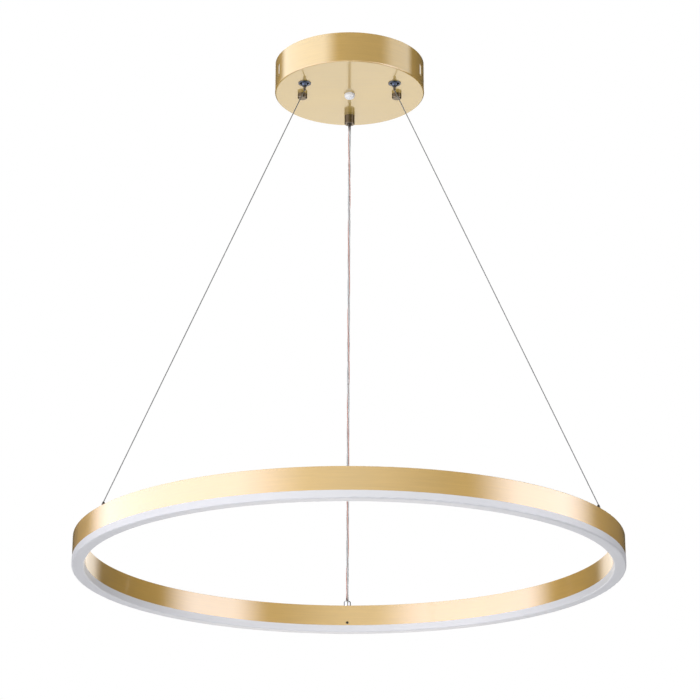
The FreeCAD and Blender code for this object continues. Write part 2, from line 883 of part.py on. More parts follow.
def terminal_block():
    top = floor_top + terminal_height
    body = block(-terminal_length / 2, terminal_length / 2, terminal_low_y, terminal_high_y,
                 floor_top, top)
    for pole in terminal_poles:
        x = pole * terminal_pitch
        for y, heading in ((terminal_low_y, 1), (terminal_high_y, -1)):
            bore = Part.makeCylinder(terminal_bore_radius, terminal_bore_depth,
                                     V(x, y, lead_level), V(0, heading, 0))
            body = body.cut(bore)
        for y in terminal_screw_rows():
            body = body.cut(cylinder((x, y), terminal_screw_radius + hole_gap,
                                     terminal_screw_low, top))
    return body


def terminal_screw_rows():
    return (terminal_middle_y - terminal_row_offset, terminal_middle_y + terminal_row_offset)


def terminal_screws():
    # Each screw's foot rests on the lead in its bore.
    return [cylinder((pole * terminal_pitch, y), terminal_screw_radius, terminal_screw_low,
                     terminal_screw_low + terminal_screw_length)
            for pole in terminal_poles for y in terminal_screw_rows()]


def supply_lead(name, pole):
    # From the terminal block to the driver, swaying a little sideways on its way.
    x = pole * terminal_pitch
    start = lead_start_y
    end = driver_box[2] + driver_wall
    third = (end - start) / 3
    return tube_along(name, [
        (x, start, lead_level), (x, start + third, lead_level),
        (x - lead_sway, (start + end) / 2, lead_level + lead_radius),
        (x, end - third, lead_level), (x, end, lead_level)], lead_radius)


def earth_tag():
    high = -bracket_sheet
    low = high - tag_thickness
    ring = sleeve((earth_x, 0), tag_radius, earth_screw_radius + hole_gap, low, high)
    barrel = Part.makeCylinder(tag_barrel_radius, tag_barrel_length,
                               V(earth_x, -tag_neck, high - tag_barrel_radius), V(0, -1, 0))
    return ring.fuse(barrel)


def earth_screw():
    high = -bracket_sheet - tag_thickness
    head = cylinder((earth_x, 0), earth_head_radius, high - earth_head_height, high)
    return head.fuse(cylinder((earth_x, 0), earth_screw_radius, high, 0))


def earth_lead():
    x = terminal_pitch
    bend_y = lead_start_y + earth_lead_straight
    tag_level = -bracket_sheet - tag_barrel_radius
    return tube_along("earth_lead", [
        (x, lead_start_y, lead_level), (x, bend_y, lead_level),
        (x + earth_lead_step, bend_y + earth_lead_step, (lead_level + tag_level) / 2),
        (earth_x, tag_end - earth_lead_end, tag_level), (earth_x, tag_end, tag_level)],
        lead_radius)


def output_lead(side):
    # From the stripped end of the cable, up and over, and down into the driver.
    top = underside + cable_tail_height
    level = output_level()
    x = side * output_lead_x
    y = back_place[1]
    outlet = driver_box[3]
    start_x = back_place[0] + side * (output_lead_radius + lay_gap)
    crest_x, crest_y, crest_z = output_lead_crest
    fall_y, fall_z = output_lead_fall
    return tube_along("output_lead", [
        (start_x, y, top), (start_x, y, top + output_lead_rise),
        (start_x + side * crest_x, y + crest_y, top + crest_z), (x, y + fall_y, top + fall_z),
        (x, outlet + 2 * output_lead_entry, level + output_lead_entry),
        (x, outlet + output_lead_entry, level), (x, outlet - driver_wall, level)],
        output_lead_radius)


def main():
    os.makedirs("parts", exist_ok=True)
    save("canopy_cup", canopy_cup())
    save("mounting_bracket", mounting_bracket())
    save("bracket_studs", *[bracket_stud(place) for place in stud_places])
    save("stud_nuts", *[stud_nut(place) for place in stud_places])
    save("cap_nuts", *[cap_nut(place) for place in stud_places])
    save("centre_plug", centre_plug())

    grips = (("left", left_place, wire_grip, trumpet_outline(wire_grip)),
             ("right", right_place, wire_grip, trumpet_outline(wire_grip)),
             ("back", back_place, cable_grip, barrel_outline(cable_grip)))
    for name, place, grip, outline in grips:
        save(name + "_grip_body", grip_body(place, grip, outline))
        save(name + "_release", release(place, grip))
        save(name + "_grip_balls", *grip_balls(place, grip))
        save(name + "_grip_spring", grip_spring(place, grip))
    front_places = (left_place, right_place)
    save("front_grip_caps", *[grip_cap(place, wire_grip) for place in front_places])
    save("back_grip_cap", grip_cap(back_place, cable_grip))
    save("front_grip_nuts", *[grip_nut(place, wire_grip) for place in front_places])
    save("back_grip_nut", grip_nut(back_place, cable_grip))
    save("wire_tails", *[wire_tail(place) for place in front_places])
    save("stop_ferrules", *[stop_ferrule(place) for place in front_places])
    save("cable_tail", cable_tail())

    save("left_wire", suspension_wire(left_place, left_anchor))
    save("right_wire", suspension_wire(right_place, right_anchor))
    save("cable_sheath", cable_part(cable_radius, cable_bore_radius))
    cores = (("copper_core", core_radius, 90), ("tinned_core", core_radius, 210),
             ("steel_core", steel_core_radius, 330))
    for name, radius, angle in cores:
        save(name, cable_part(radius, offset=polar(core_circle_radius, angle)))

    save("ring_channel", ring_channel())
    save("diffuser", diffuser())
    save("diffuser_screws", *[diffuser_screw(angle) for angle in diffuser_screw_angles()])
    save("led_boards", *[light_board(middle) for middle in board_angles()])
    save("led_chips", *[chip for middle in board_angles() for chip in light_chips(middle)])
    save("board_screws", *[board_screw(angle) for angle in board_screw_angles()])
    save("board_links", *board_links())
    anchors = ((left_anchor, left_anchor_angle), (right_anchor, right_anchor_angle))
    save("wire_anchors", *[wire_anchor(place) for place, _ in anchors])
    save("anchor_nuts", *[anchor_nut(place, angle) for place, angle in anchors])
    save("wire_ends", *[wire_end(place) for place, _ in anchors])
    save("ring_gland", ring_gland())
    save("gland_bush", gland_bush())
    save("gland_nut", gland_nut())
    save("cable_ring_end", cable_ring_end())
    save("ring_leads", ring_lead(-1), ring_lead(1))

    save("driver_pad", driver_pad())
    save("driver_base", driver_base())
    save("driver_cover", driver_cover())
    save("driver_board", driver_board())
    save("driver_components", *driver_components())
    save("terminal_block", terminal_block())
    save("terminal_screws", *terminal_screws())
    save("line_lead", supply_lead("line_lead", -1))
    save("neutral_lead", supply_lead("neutral_lead", 0))
    save("earth_lead", earth_lead())
    save("earth_tag", earth_tag())
    save("earth_screw", earth_screw())
    save("output_leads", output_lead(-1), output_lead(1))


main()
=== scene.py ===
import math

import bmesh
import bpy
import numpy as np
from mathutils import Matrix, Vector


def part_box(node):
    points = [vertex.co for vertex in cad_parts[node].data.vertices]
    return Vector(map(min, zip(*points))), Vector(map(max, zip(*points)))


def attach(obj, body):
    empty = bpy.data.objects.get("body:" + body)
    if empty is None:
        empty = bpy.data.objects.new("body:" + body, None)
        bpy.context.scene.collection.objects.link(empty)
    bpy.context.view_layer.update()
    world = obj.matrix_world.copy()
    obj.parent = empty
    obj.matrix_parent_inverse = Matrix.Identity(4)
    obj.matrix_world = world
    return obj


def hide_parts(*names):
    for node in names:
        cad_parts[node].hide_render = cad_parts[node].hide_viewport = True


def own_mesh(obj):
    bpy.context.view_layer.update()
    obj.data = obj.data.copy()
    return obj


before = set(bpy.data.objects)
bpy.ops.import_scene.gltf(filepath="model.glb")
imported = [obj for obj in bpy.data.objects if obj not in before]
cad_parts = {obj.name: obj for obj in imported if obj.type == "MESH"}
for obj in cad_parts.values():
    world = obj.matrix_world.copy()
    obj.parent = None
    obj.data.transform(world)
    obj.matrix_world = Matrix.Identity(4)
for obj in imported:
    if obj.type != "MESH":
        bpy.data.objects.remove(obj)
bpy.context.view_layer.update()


def addObject(name, data):
    made = bpy.data.objects.new(name, data)
    bpy.context.scene.collection.objects.link(made)
    return made


def toLinear(colour):  # sRGB hex to the linear numbers that shaders and lights take
    shares = [int(colour[i:i + 2], 16) / 255 for i in (1, 3, 5)]
    return (*[s / 12.92 if s <= 0.04045 else ((s + 0.055) / 1.055) ** 2.4 for s in shares], 1.0)


def scaleOf(size):  # a pattern's scale, from the size of its lumps or lines in millimetres
    return 1 / (size * 0.001)


def addNode(tree, kind, sockets=None, **settings):  # one node, its settings, its values and its links
    node = tree.nodes.new(kind)
    for name, value in settings.items():
        setattr(node, name, value)
    for name, value in (sockets or {}).items():
        if isinstance(value, bpy.types.NodeSocket):
            tree.links.new(value, node.inputs[name])
        else:
            node.inputs[name].default_value = value
    return node


# camera

view = {
    "place": (0.00085, -2.541, -1.2483),  # metres, low in front and looking up at the light
    "pitch": 19.41,  # degrees above level
    "roll": 0.0012,  # radians
    "lens": 123.29, "sensor": 36,  # mm
    "reach": 200,  # metres, past the far edge of the floor
}

camera = addObject("Camera", bpy.data.cameras.new("Camera"))
camera.data.sensor_width = view["sensor"]
camera.data.lens = view["lens"]
camera.data.clip_end = view["reach"]
pitched = Matrix.Rotation(math.radians(90 + view["pitch"]), 4, "X")  # an unturned camera looks straight down
camera.matrix_world = Matrix.Translation(view["place"]) @ pitched @ Matrix.Rotation(view["roll"], 4, "Z")
bpy.context.scene.camera = camera
bpy.context.scene.view_settings.view_transform = "Standard"
print("camera set")


# cords: two wires and the clear cable, each taut and straight between its grip and the ring

wire = {  # metres
    "leftRoute": [(-0.05196, -0.0300, -0.0455), (-0.11939, -0.06893, -0.22093),
                  (-0.18683, -0.10787, -0.39637), (-0.25426, -0.1468, -0.5718)],
    "rightRoute": [(0.05196, -0.0300, -0.0455), (0.12105, -0.06594, -0.22093),
                   (0.19014, -0.10189, -0.39637), (0.25923, -0.13783, -0.5718)],
    "diameter": 0.0012,
    "length": 0.5758,
    "strand": 0.0002,  # radius of each of its seven strands
    "lay": 0.009,  # one turn of the outer strands
    "strandSides": 6,
    "keep": 0.4300,  # share of its height left when the ring is all the way up
}
cable = {
    "route": [(0.0, 0.0600, -0.0489), (-0.00068, 0.13786, -0.22317),
              (-0.00137, 0.21573, -0.39743), (-0.00205, 0.29359, -0.5717)],
    "diameter": 0.0032,
    "length": 0.5726,
    "sheathSides": 32, "sheathSteps": 60, "tailSteps": 6,
    "coreSteps": 48, "tailCoreSteps": 60,  # along one turn of a core
    "coreCircle": 0.0006,  # radius of the circle that the cores' middles lie on
    "lay": 0.105,  # one turn of the three cores round each other
    "coreLay": 0.012,  # one turn of the fine strands in a core
    "strandSides": 5,
    "cores": {  # radius, place round the middle in degrees, the CAD node and its slot
        "copper": {"radius": 0.00042, "angle": 90, "node": "copper_core", "slot": "copper"},
        "tinned": {"radius": 0.00042, "angle": 210, "node": "tinned_core", "slot": "tinned_copper"},
        "steel": {"radius": 0.00040, "angle": 330, "node": "steel_core", "slot": "rope_steel"},
    },
    "keep": 0.4262,
}
rope = {  # six strands round a middle one, and the steps along them
    "outer": 6, "perTurn": 12, "fewest": 8, "middle": 40,
}
routeSteps = 32  # steps of a route's smooth line between two of its points


def readRoute(name, route):  # the smooth line of a NURBS spline through the route's control points
    curve = bpy.data.curves.new(name, "CURVE")
    curve.dimensions = "3D"
    curve.resolution_u = routeSteps
    spline = curve.splines.new("NURBS")
    spline.points.add(len(route) - 1)
    for point, place in zip(spline.points, route):
        point.co = (*place, 1)
    spline.order_u = 3
    spline.use_endpoint_u = True
    holder = addObject(name, curve)
    line = bpy.data.meshes.new_from_object(holder)
    points = np.array([tuple(vertex.co) for vertex in line.vertices])
    bpy.data.objects.remove(holder)
    bpy.data.curves.remove(curve)
    bpy.data.meshes.remove(line)
    return points


def alongLine(points, count):  # places at equal steps along a line, and how far along each is
    gaps = np.linalg.norm(np.diff(points, axis=0), axis=1)
    run = np.concatenate([[0], np.cumsum(gaps)])
    steps = np.linspace(0, run[-1], count)
    return np.stack([np.interp(steps, run, points[:, k]) for k in range(3)], axis=1), steps


def directions(places):  # the way ahead at each place of a line
    forward = np.gradient(places, axis=0)
    return forward / np.linalg.norm(forward, axis=1)[:, None]


def sideways(forward):  # two directions square to each step of a nearly straight line
    steep = abs(forward[0][2]) >= 0.99  # too nearly vertical to be crossed with the vertical
    side = np.cross(forward, np.array([0.0, 1.0, 0.0] if steep else [0.0, 0.0, 1.0]))
    side /= np.linalg.norm(side, axis=1)[:, None]
    return side, np.cross(side, forward)


def tubeMesh(places, radius, sides):  # vertices and faces of a closed tube round a line
    forward = directions(places)
    side = np.zeros_like(forward)
    axis = np.eye(3)[int(np.argmin(np.abs(forward[0])))]
    for i, ahead in enumerate(forward):
        side[i] = axis - ahead * axis.dot(ahead)
        side[i] /= np.linalg.norm(side[i])
        axis = side[i]
    up = np.cross(forward, side)
    angles = np.linspace(0, 2 * math.pi, sides, endpoint=False)[None, :, None]
    outward = np.cos(angles) * side[:, None, :] + np.sin(angles) * up[:, None, :]
    vertices = (places[:, None, :] + radius * outward).reshape(-1, 3)
    faces = []
    for i in range(len(places) - 1):
        for j in range(sides):
            a, b = i * sides + j, i * sides + (j + 1) % sides
            faces.append((a, b, b + sides, a + sides))
    faces.append(tuple(reversed(range(sides))))
    faces.append(tuple(range(len(vertices) - sides, len(vertices))))
    return vertices, faces


def joinMeshes(name, shapes, material=None):  # one object from several lists of vertices and faces
    vertices, faces, first = [], [], 0
    for shapeVertices, shapeFaces in shapes:
        vertices.append(np.asarray(shapeVertices))
        faces.extend(tuple(i + first for i in face) for face in shapeFaces)
        first += len(shapeVertices)
    mesh = bpy.data.meshes.new(name)
    mesh.from_pydata(np.concatenate(vertices).tolist(), [], faces)
    mesh.polygons.foreach_set("use_smooth", [len(face) < 7 for face in faces])  # large end faces stay flat
    mesh.validate()
    if material:
        mesh.materials.append(material)
    return addObject(name, mesh)


def helixLine(points, offset, lay, phase, perTurn):  # a line that winds round another line
    length = np.linalg.norm(np.diff(points, axis=0), axis=1).sum()
    places, steps = alongLine(points, max(rope["fewest"], int(length / lay * perTurn)))
    side, up = sideways(directions(places))
    angle = math.radians(phase) + 2 * math.pi * steps / lay
    return places + offset * (np.cos(angle)[:, None] * side + np.sin(angle)[:, None] * up)


def ropeShapes(points, strand, lay, sides):  # a middle strand and six more wound round it
    shapes = [tubeMesh(alongLine(points, rope["middle"])[0], strand, sides)]
    for number in range(rope["outer"]):
        line = helixLine(points, 2 * strand, lay, 360 / rope["outer"] * number, rope["perTurn"])
        shapes.append(tubeMesh(line, strand, sides))
    return shapes


def wireShapes(line):
    return ropeShapes(line, wire["strand"], wire["lay"], wire["strandSides"])


def sheathShapes(line, steps):  # solid PVC, with the cores set in it
    return [tubeMesh(alongLine(line, steps)[0], cable["diameter"] / 2, cable["sheathSides"])]


def coreShapes(line, core, perTurn):
    centre = helixLine(line, cable["coreCircle"], cable["lay"], core["angle"], perTurn)
    return ropeShapes(centre, core["radius"] / 3, cable["coreLay"], cable["strandSides"])


leftPath = readRoute("LeftWireRoute", wire["leftRoute"])
rightPath = readRoute("RightWireRoute", wire["rightRoute"])
cablePath = readRoute("CableRoute", cable["route"])

leftRope = joinMeshes("LeftRope", wireShapes(leftPath))
rightRope = joinMeshes("RightRope", wireShapes(rightPath))
sheath = joinMeshes("CableSheath", sheathShapes(cablePath, cable["sheathSteps"]))
cores = {}
for kind, core in cable["cores"].items():
    cores[kind] = joinMeshes("Core" + kind.capitalize(), coreShapes(cablePath, core, cable["coreSteps"]))

for piece, node, path in ((leftRope, "left_wire", leftPath), (rightRope, "right_wire", rightPath)):
    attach(piece, "canopy")
    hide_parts(node)
    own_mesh(piece)
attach(sheath, "canopy")
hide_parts("cable_sheath")
for kind, piece in cores.items():
    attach(piece, "canopy")
    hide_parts(cable["cores"][kind]["node"])
for piece in (sheath, *cores.values()):
    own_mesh(piece)
print("cords laid")


# studio: a round light tent with soft boxes, seen in reflections only

tent = {
    "radius": 1.0, "low": -1.30, "high": 0.80,  # metres
    "segments": 96,
    "cloth": "#fff4d8", "clothLevel": 0.06,  # nearly black where no box stands
    "fade": 0.05,  # metres over which a box fades at its top and bottom
}
bands = {  # heights in metres: the ring reflects the low boxes, the canopy the high ones
    "whole": (-1.3, 0.8), "low": (-1.3, -0.22), "high": (-0.15, 0.66),
}
softBoxes = {  # turn and soft edges in degrees, counted from the camera towards the right
    "frontCloth": {"turn": (-118, 104), "edges": (8, 8), "band": "whole", "level": 0.40, "tint": "#fff6da"},
    "lowLeft": {"turn": (-109, -26), "edges": (11, 14), "band": "low", "level": 3.5, "tint": "#f2eefa"},
    "lowFront": {"turn": (-26, 20), "edges": (12, 25), "band": "low", "level": 1.1, "tint": "#f6f4e6"},
    "lowRight": {"turn": (52, 95), "edges": (12, 13), "band": "low", "level": 3.7, "tint": "#f2eef8"},
    "highLeft": {"turn": (-120, -28), "edges": (10, 14), "band": "high", "level": 2.5, "tint": "#f2f4ee"},
    "highRight": {"turn": (58, 103), "edges": (14, 8), "band": "high", "level": 1.4, "tint": "#f2f4ee"},
    "backBoard": {"turn": (165, 195), "edges": (8, 8), "band": "whole", "level": 1.6, "tint": "#fff6ea"},
}


def lightCloth():  # the glowing cloth of the tent: its boxes by angle and height, nothing from outside
    material = bpy.data.materials.new("TentCloth")
    material.use_nodes = True
    tree = material.node_tree
    tree.nodes.clear()
    place = addNode(tree, "ShaderNodeTexCoord").outputs["Object"]
    parts = addNode(tree, "ShaderNodeSeparateXYZ", {0: place}).outputs
    ahead = addNode(tree, "ShaderNodeMath", {0: parts["Y"], 1: -1.0}, operation="MULTIPLY").outputs[0]
    azimuth = addNode(tree, "ShaderNodeMath", {0: parts["X"], 1: ahead}, operation="ARCTAN2").outputs[0]
    degrees = addNode(tree, "ShaderNodeMath", {0: azimuth}, operation="DEGREES").outputs[0]
    total = tuple(part * tent["clothLevel"] for part in toLinear(tent["cloth"])[:3])
    for box in softBoxes.values():
        (first, last), (firstSoft, lastSoft), (low, high) = box["turn"], box["edges"], bands[box["band"]]
        middle = (first + last) / 2
        turned = addNode(tree, "ShaderNodeMath", {0: degrees, 1: middle + 180, 2: middle - 180},
                         operation="WRAP").outputs[0]
        limits = ((turned, first, firstSoft, (0.0, 1.0)), (turned, last, lastSoft, (1.0, 0.0)),
                  (parts["Z"], low, tent["fade"], (0.0, 1.0)), (parts["Z"], high, tent["fade"], (1.0, 0.0)))
        share = 1.0
        for value, edge, soft, ends in limits:
            limit = addNode(tree, "ShaderNodeMapRange", {
                "Value": value, "From Min": edge - soft, "From Max": edge + soft,
                "To Min": ends[0], "To Max": ends[1]}, interpolation_type="SMOOTHSTEP").outputs[0]
            share = addNode(tree, "ShaderNodeMath", {0: share, 1: limit}, operation="MULTIPLY").outputs[0]
        bright = tuple(part * box["level"] for part in toLinear(box["tint"])[:3])
        glow = addNode(tree, "ShaderNodeVectorMath", {0: bright, "Scale": share},
                       operation="SCALE").outputs[0]
        total = addNode(tree, "ShaderNodeVectorMath", {0: glow, 1: total}, operation="ADD").outputs[0]
    light = addNode(tree, "ShaderNodeEmission", {"Color": total, "Strength": 1.0}).outputs[0]
    clear = addNode(tree, "ShaderNodeBsdfTransparent").outputs[0]
    outside = addNode(tree, "ShaderNodeNewGeometry").outputs["Backfacing"]
    cloth = addNode(tree, "ShaderNodeMixShader", {0: outside, 1: light, 2: clear}).outputs[0]
    addNode(tree, "ShaderNodeOutputMaterial", {"Surface": cloth})
    return material


def addStageMesh(name, shape, material):  # something round the light that isn't part of it
    mesh = bpy.data.meshes.new(name)
    shape.to_mesh(mesh)
    shape.free()
    mesh.materials.append(material)
    piece = addObject(name, mesh)
    piece.visible_diffuse = False  # the room's plain light does this
    piece.visible_transmission = False
    return piece


shape = bmesh.new()
bmesh.ops.create_cone(shape, segments=tent["segments"], radius1=tent["radius"], radius2=tent["radius"],
                      depth=tent["high"] - tent["low"],
                      matrix=Matrix.Translation((0, 0, (tent["high"] + tent["low"]) / 2)))
bmesh.ops.reverse_faces(shape, faces=shape.faces)  # its bright side faces the light
lightTent = addStageMesh("LightTent", shape, lightCloth())
lightTent.visible_camera = False
lightTent.visible_shadow = False

# the room's plain light: the camera sees it white and even, and the part is lit less from its right side
studio = {
    "above": 1.1, "below": 1.0,  # from the ceiling and from the floor
    "left": 0.8, "right": 0.15, "ends": 1.7,  # from the sides, and from in front and behind
    "overHorizon": 0.5,  # how much of that pattern stays above the horizon
    "heightBlend": 0.3, "sideBlend": 0.5, "endBlend": 0.6, "horizonBlend": 0.1,  # half widths of the changes
}


def lightRoom(tree):
    direction = addNode(tree, "ShaderNodeTexCoord").outputs["Generated"]
    parts = addNode(tree, "ShaderNodeSeparateXYZ", {0: direction}).outputs
    over = addNode(tree, "ShaderNodeMapRange", {
        "Value": parts["Z"], "From Min": -studio["heightBlend"], "From Max": studio["heightBlend"],
        "To Min": studio["below"], "To Max": studio["above"]}, interpolation_type="SMOOTHSTEP").outputs[0]
    back = addNode(tree, "ShaderNodeMath", {0: parts["Y"], 1: -1.0}, operation="MULTIPLY").outputs[0]
    around = addNode(tree, "ShaderNodeMath", {0: parts["X"], 1: back}, operation="ARCTAN2").outputs[0]
    twice = addNode(tree, "ShaderNodeMath", {0: around, 1: 2.0}, operation="MULTIPLY").outputs[0]
    wave = addNode(tree, "ShaderNodeMath", {0: twice}, operation="COSINE").outputs[0]  # 1 in front and behind
    sides = addNode(tree, "ShaderNodeMapRange", {
        "Value": parts["X"], "From Min": -studio["sideBlend"], "From Max": studio["sideBlend"],
        "To Min": studio["left"], "To Max": studio["right"]}).outputs[0]
    patches = addNode(tree, "ShaderNodeMapRange", {
        "Value": wave, "From Min": -studio["endBlend"], "From Max": studio["endBlend"],
        "To Min": sides, "To Max": studio["ends"]}, interpolation_type="SMOOTHSTEP").outputs[0]
    kept = addNode(tree, "ShaderNodeMapRange", {
        "Value": parts["Z"], "From Min": -studio["horizonBlend"], "From Max": studio["horizonBlend"],
        "To Min": 1.0, "To Max": studio["overHorizon"]}).outputs[0]
    boards = addNode(tree, "ShaderNodeMix", {0: kept, 2: 1.0, 3: patches}).outputs[0]
    level = addNode(tree, "ShaderNodeMath", {0: over, 1: boards}, operation="MULTIPLY").outputs[0]
    rays = addNode(tree, "ShaderNodeLightPath").outputs
    seen = addNode(tree, "ShaderNodeMath", {0: rays["Is Camera Ray"], 1: rays["Is Transmission Ray"]},
                   operation="MAXIMUM").outputs[0]
    strength = addNode(tree, "ShaderNodeMix", {0: seen, 2: level, 3: 1.0}).outputs[0]
    light = addNode(tree, "ShaderNodeBackground", {"Color": (1, 1, 1, 1), "Strength": strength}).outputs[0]
    addNode(tree, "ShaderNodeOutputWorld", {"Surface": light})


world = bpy.data.worlds.new("Studio")
bpy.context.scene.world = world
world.use_nodes = True
world.node_tree.nodes.clear()
lightRoom(world.node_tree)
print("studio lit")


# materials

def startMaterial(name, colour, plain):  # a principled material with its plain values set on the shader
    material = bpy.data.materials.new(name)
    material.use_nodes = True
    tree = material.node_tree
    tree.nodes.clear()
    shader = addNode(tree, "ShaderNodeBsdfPrincipled", {"Base Color": toLinear(colour), **plain})
    addNode(tree, "ShaderNodeOutputMaterial", {"Surface": shader.outputs[0]})
    place = addNode(tree, "ShaderNodeTexCoord").outputs["Object"]
    return material, tree, shader, place


def layFinish(tree, shader, place, finish):
    # each socket has a pattern and two ends: colours, roughnesses, or for Normal the depth of fine bumps in
    # millimetres and their strength; a pattern is a socket, or lumps of so many millimetres and their detail
    for socket, (pattern, low, high) in finish.items():
        if isinstance(pattern, tuple):
            pattern = addNode(tree, "ShaderNodeTexNoise", {
                "Vector": place, "Scale": scaleOf(pattern[0]), "Detail": pattern[1]}).outputs[0]
        if socket == "Normal":
            made = addNode(tree, "ShaderNodeBump", {
                "Height": pattern, "Distance": low * 0.001, "Strength": high}).outputs[0]
        elif socket == "Base Color":
            made = addNode(tree, "ShaderNodeMix", {
                0: pattern, 6: toLinear(low), 7: toLinear(high)}, data_type="RGBA").outputs[2]
        else:
            made = addNode(tree, "ShaderNodeMapRange", {
                "Value": pattern, "To Min": low, "To Max": high}).outputs[0]
        tree.links.new(made, shader.inputs[socket])


def grainedMaterial(name, colour, plain, finish):  # one whose patterns are all soft lumps
    material, tree, shader, place = startMaterial(name, colour, plain)
    layFinish(tree, shader, place, finish)
    return material


gold = {
    # the level faces' tints are paler and greener than the walls': painted light, standing in for how the
    # underside is lit
    "wallTints": ("#9f7e32", "#bd953d"), "litFaceTints": ("#a98c34", "#bd9f42"),
    "brushLong": 45, "brushWide": 1.5,  # mm; real lines are 0.1 mm apart, drawn coarser to show
    "cloud": 45, "cloudShare": 0.35,  # mm, slow changes of tint along the sheet
    "level": 0.9,  # a face is level when its normal is at least this upright
}


def lacqueredGold(name, levelFaces):
    # sheet metal brushed with fine grit, tinted gold and clear lacquered: the tint stays brown-gold where the
    # surroundings are dark, and the lacquer lays a pale sheen over it where they are bright
    material, tree, shader, place = startMaterial(name, gold["wallTints"][1], {
        "Metallic": 0.2, "Roughness": 0.42, "Anisotropic": 0.5,
        "Coat Weight": 1.0, "Coat Roughness": 0.13, "Coat IOR": 2.2})
    along, across = scaleOf(gold["brushLong"]), scaleOf(gold["brushWide"])
    parts = addNode(tree, "ShaderNodeSeparateXYZ", {0: place}).outputs
    outward = addNode(tree, "ShaderNodeCombineXYZ", {"X": parts["X"], "Y": parts["Y"]}).outputs[0]
    reach = addNode(tree, "ShaderNodeVectorMath", {0: outward}, operation="LENGTH").outputs["Value"]
    upOrOut = addNode(tree, "ShaderNodeMath", {0: reach, 1: parts["Z"]}, operation="ADD").outputs[0]
    joined = addNode(tree, "ShaderNodeCombineXYZ", {
        "X": parts["X"], "Y": parts["Y"], "Z": upOrOut}).outputs[0]
    brushed = addNode(tree, "ShaderNodeVectorMath", {0: joined, 1: (along, along, across)},
                      operation="MULTIPLY").outputs[0]  # walls are brushed round the axis
    if levelFaces:  # a level face is brushed from side to side
        flat = addNode(tree, "ShaderNodeVectorMath", {0: place, 1: (along, across, across)},
                       operation="MULTIPLY").outputs[0]
        facing = addNode(tree, "ShaderNodeNewGeometry").outputs["Normal"]
        upward = addNode(tree, "ShaderNodeSeparateXYZ", {0: facing}).outputs["Z"]
        steepness = addNode(tree, "ShaderNodeMath", {0: upward}, operation="ABSOLUTE").outputs[0]
        isFace = addNode(tree, "ShaderNodeMath", {0: steepness, 1: gold["level"]},
                         operation="GREATER_THAN").outputs[0]
        brushed = addNode(tree, "ShaderNodeMix", {0: isFace, 4: brushed, 5: flat},
                          data_type="VECTOR").outputs[1]
    lines = addNode(tree, "ShaderNodeTexNoise", {
        "Vector": brushed, "Scale": 1.0, "Detail": 2.0, "Roughness": 0.6}).outputs[0]
    cloud = addNode(tree, "ShaderNodeTexNoise", {
        "Vector": place, "Scale": scaleOf(gold["cloud"]), "Detail": 2.0}).outputs[0]
    both = addNode(tree, "ShaderNodeMix", {0: gold["cloudShare"], 2: lines, 3: cloud}).outputs[0]
    layFinish(tree, shader, place, {
        "Base Color": (both, *gold["wallTints"]), "Roughness": (lines, 0.38, 0.54),
        "Coat Roughness": (lines, 0.05, 0.13), "Normal": (lines, 0.02, 0.3)})
    # level faces get their own paler, greener copy of the gold: painted light, not a different finish
    if levelFaces:
        wallTint = shader.inputs["Base Color"].links[0].from_socket
        dark, light = (toLinear(tint) for tint in gold["litFaceTints"])
        litFaceTint = addNode(tree, "ShaderNodeMix", {0: both, 6: dark, 7: light}, data_type="RGBA").outputs[2]
        tint = addNode(tree, "ShaderNodeMix", {0: isFace, 6: wallTint, 7: litFaceTint},
                       data_type="RGBA").outputs[2]
        tree.links.new(tint, shader.inputs["Base Color"])
    return material


def platedMetal(name, colour, dull, rough, patch=1.5):
    # plated and polished: near mirror, with faint hazy patches of about a millimetre left by handling
    return grainedMaterial(name, colour, {"Metallic": 1.0, "Roughness": rough}, {
        "Base Color": ((patch, 3.0), dull, colour), "Roughness": ((patch, 3.0), rough * 0.7, rough * 1.4),
        "Normal": ((patch * 0.4, 3.0), 0.004, 0.2)})


def zincPlate(name):
    # bright zinc over pressed steel: crystals of about 1 mm that differ a little in grey and in shine
    material, tree, shader, place = startMaterial(name, "#b9bcc0", {"Metallic": 1.0, "Roughness": 0.35})
    cells = addNode(tree, "ShaderNodeTexVoronoi", {"Vector": place, "Scale": scaleOf(1.2)}).outputs["Color"]
    tone = addNode(tree, "ShaderNodeSeparateColor", {0: cells}).outputs[0]
    layFinish(tree, shader, place, {
        "Base Color": (tone, "#a5a9ae", "#c4c7cb"), "Roughness": (tone, 0.26, 0.44),
        "Normal": ((0.5, 3.0), 0.01, 0.3)})
    return material


def drawnWire(name, colour, dull, rough):
    # hard drawn wire: a slightly dull skin, patchy at under a millimetre
    return grainedMaterial(name, colour, {"Metallic": 1.0, "Roughness": rough}, {
        "Base Color": ((0.7, 4.0), dull, colour), "Roughness": ((0.7, 4.0), rough * 0.8, rough * 1.3)})


def mouldedPlastic(name, colour, shade, rough, texture=0.3, depth=0.01):
    # injection moulded: an even colour with the spark-eroded texture of the tool, 0.2 to 0.6 mm
    return grainedMaterial(name, colour, {"Roughness": rough, "IOR": 1.5}, {
        "Base Color": ((12, 2.0), shade, colour),
        "Roughness": ((texture, 3.0), rough * 0.85, min(1.0, rough * 1.15)),
        "Normal": ((texture, 3.0), depth, 0.4)})


def extrudedInsulation(name, colour, shade):
    # soft PVC pulled through a die: a low gloss with faint waves along it, 2 to 3 mm apart
    return grainedMaterial(name, colour, {"Roughness": 0.38, "IOR": 1.53}, {
        "Base Color": ((2.5, 2.0), shade, colour), "Roughness": ((2.5, 2.0), 0.32, 0.46),
        "Normal": ((0.6, 3.0), 0.01, 0.2)})


